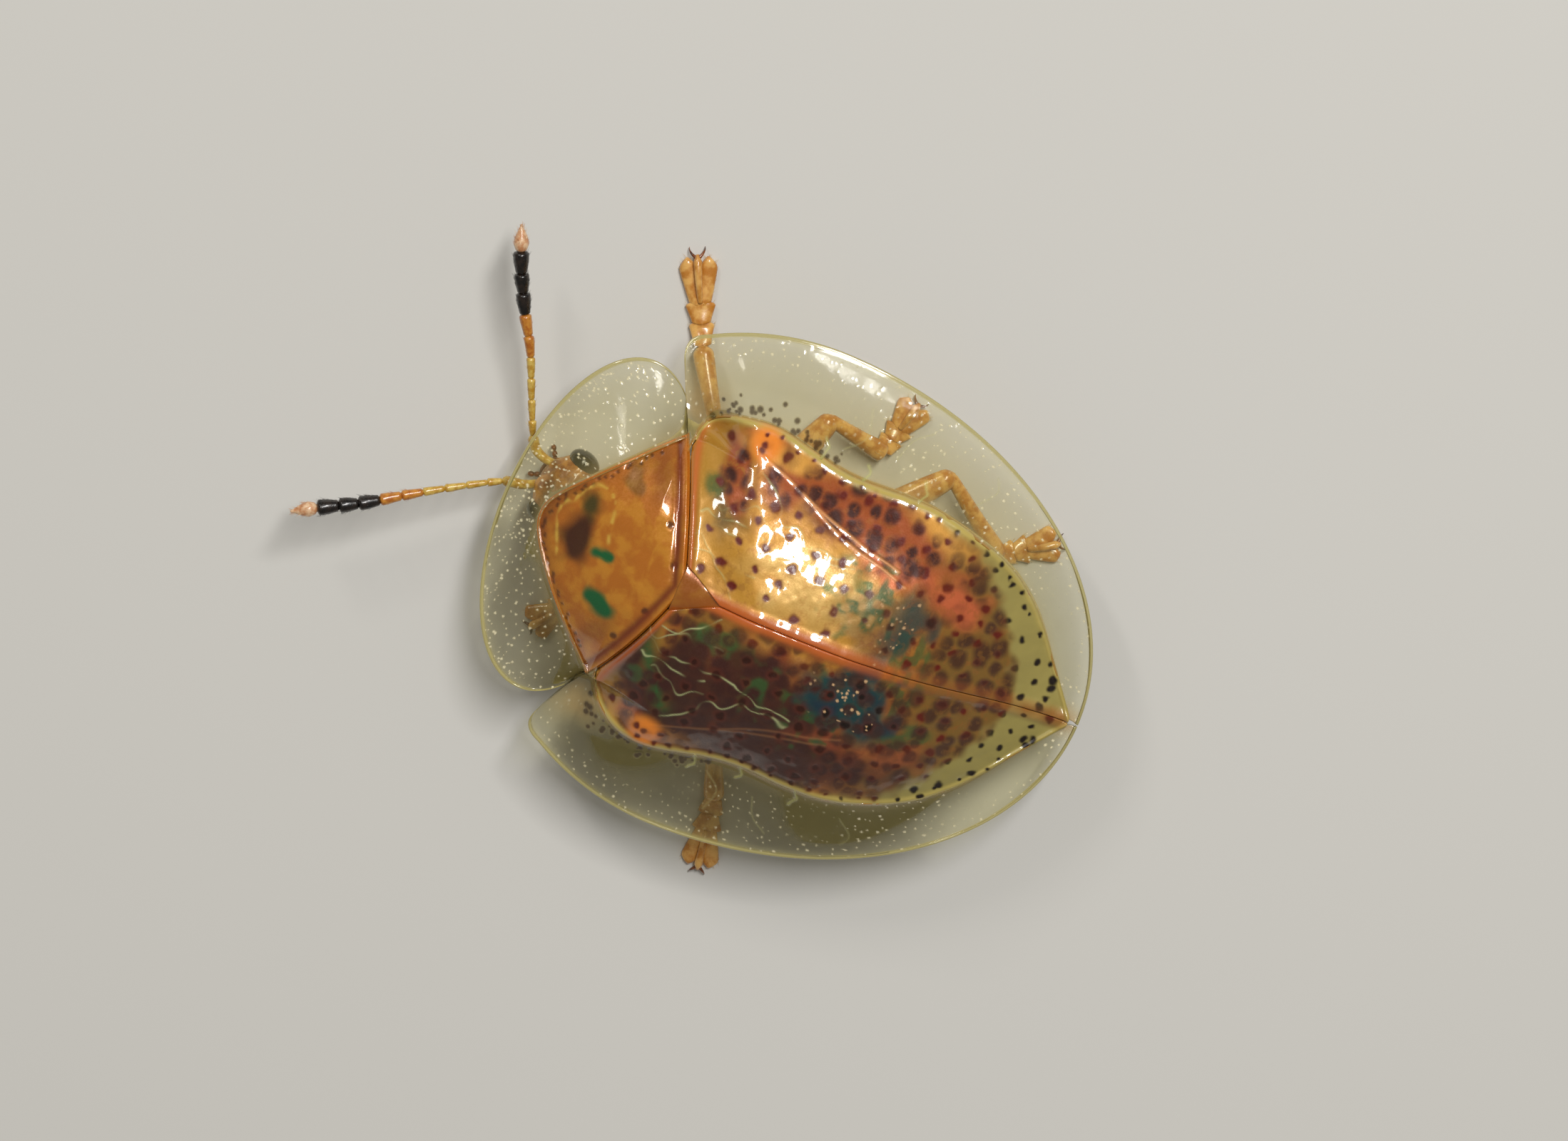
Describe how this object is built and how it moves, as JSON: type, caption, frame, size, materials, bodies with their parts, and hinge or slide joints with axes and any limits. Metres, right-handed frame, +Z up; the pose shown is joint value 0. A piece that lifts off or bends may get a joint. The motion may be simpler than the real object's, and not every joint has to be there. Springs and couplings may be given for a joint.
{
  "type": "tortoise beetle",
  "caption": "Life-size still model of a domed tortoise beetle with clear shell margins, short legs on flat soles and spread feelers.",
  "frame": {"origin": "middle of the bounding box in plan, on the floor under the soles", "axes": "head towards -Y, tail towards +Y, the beetle's left side towards +X, +Z up from the floor"},
  "size_m": [0.007, 0.0092, 0.0024],
  "materials": {
    "gold_shell": "glossy gold and red-brown shell with a clear margin",
    "clear_shield": "glossy amber shell with a clear margin",
    "brown_belly": "satin dark brown underside",
    "amber_leg": "satin amber yellow",
    "dark_mouth": "satin dark brown",
    "black_eye": "glossy black",
    "black_club": "satin black",
    "pale_tip": "satin pale orange"
  },
  "bodies": {
    "root": {"elytron_left": "gold_shell", "elytron_right": "gold_shell", "pronotum": "clear_shield", "scutellum": "clear_shield", "prothorax": "brown_belly", "thorax": "brown_belly", "abdomen": "brown_belly", "head": "amber_leg", "mouthparts": "dark_mouth", "eye_left": "black_eye", "eye_right": "black_eye", "femur_front_left": "amber_leg", "tibia_front_left": "amber_leg", "foot_front_left": "amber_leg", "femur_front_right": "amber_leg", "tibia_front_right": "amber_leg", "foot_front_right": "amber_leg", "femur_middle_left": "amber_leg", "tibia_middle_left": "amber_leg", "foot_middle_left": "amber_leg", "femur_middle_right": "amber_leg", "tibia_middle_right": "amber_leg", "foot_middle_right": "amber_leg", "femur_hind_left": "amber_leg", "tibia_hind_left": "amber_leg", "foot_hind_left": "amber_leg", "femur_hind_right": "amber_leg", "tibia_hind_right": "amber_leg", "foot_hind_right": "amber_leg", "feeler_scape_left": "amber_leg", "feeler_stem_left": "amber_leg", "feeler_club_left": "black_club", "feeler_tip_left": "pale_tip", "feeler_scape_right": "amber_leg", "feeler_stem_right": "amber_leg", "feeler_club_right": "black_club", "feeler_tip_right": "pale_tip"}
  },
  "joints": []
}
